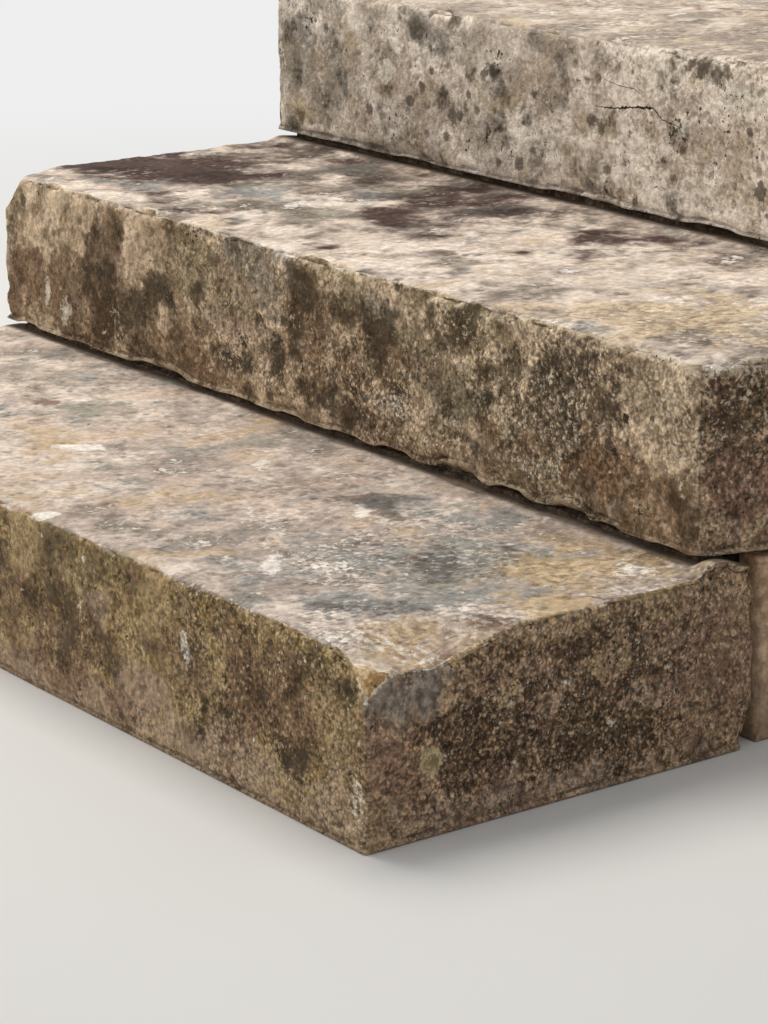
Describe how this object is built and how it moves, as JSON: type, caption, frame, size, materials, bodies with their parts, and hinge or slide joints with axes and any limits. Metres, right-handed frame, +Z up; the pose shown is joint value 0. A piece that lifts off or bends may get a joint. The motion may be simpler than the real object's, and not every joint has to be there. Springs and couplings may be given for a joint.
{
  "type": "outdoor stone steps",
  "caption": "Short flight of solid worn limestone block steps on a rendered core, for a garden, yard or doorway; free standing on level ground with a flat back for a landing.",
  "frame": {"origin": "on the ground, under the middle of the flight's overall box", "axes": "+X along the treads to the right of a person going up, +Y up the flight, +Z up"},
  "size_m": [1.22, 1.178, 0.538],
  "materials": {
    "bottom_stone": "worn, weathered",
    "middle_stone": "worn, weathered",
    "top_stone": "worn, weathered",
    "core_render": "smooth render",
    "joint_mortar": "rough, dark"
  },
  "bodies": {
    "root": {"bottom_step": "bottom_stone", "middle_step": "middle_stone", "top_step": "top_stone", "lower_core": "core_render", "upper_core": "core_render", "bed_on_bottom_step": "joint_mortar", "bed_on_lower_core": "joint_mortar", "bed_on_middle_step": "joint_mortar", "bed_on_upper_core": "joint_mortar", "joint_behind_bottom_step": "joint_mortar", "joint_behind_middle_step": "joint_mortar"}
  },
  "joints": []
}
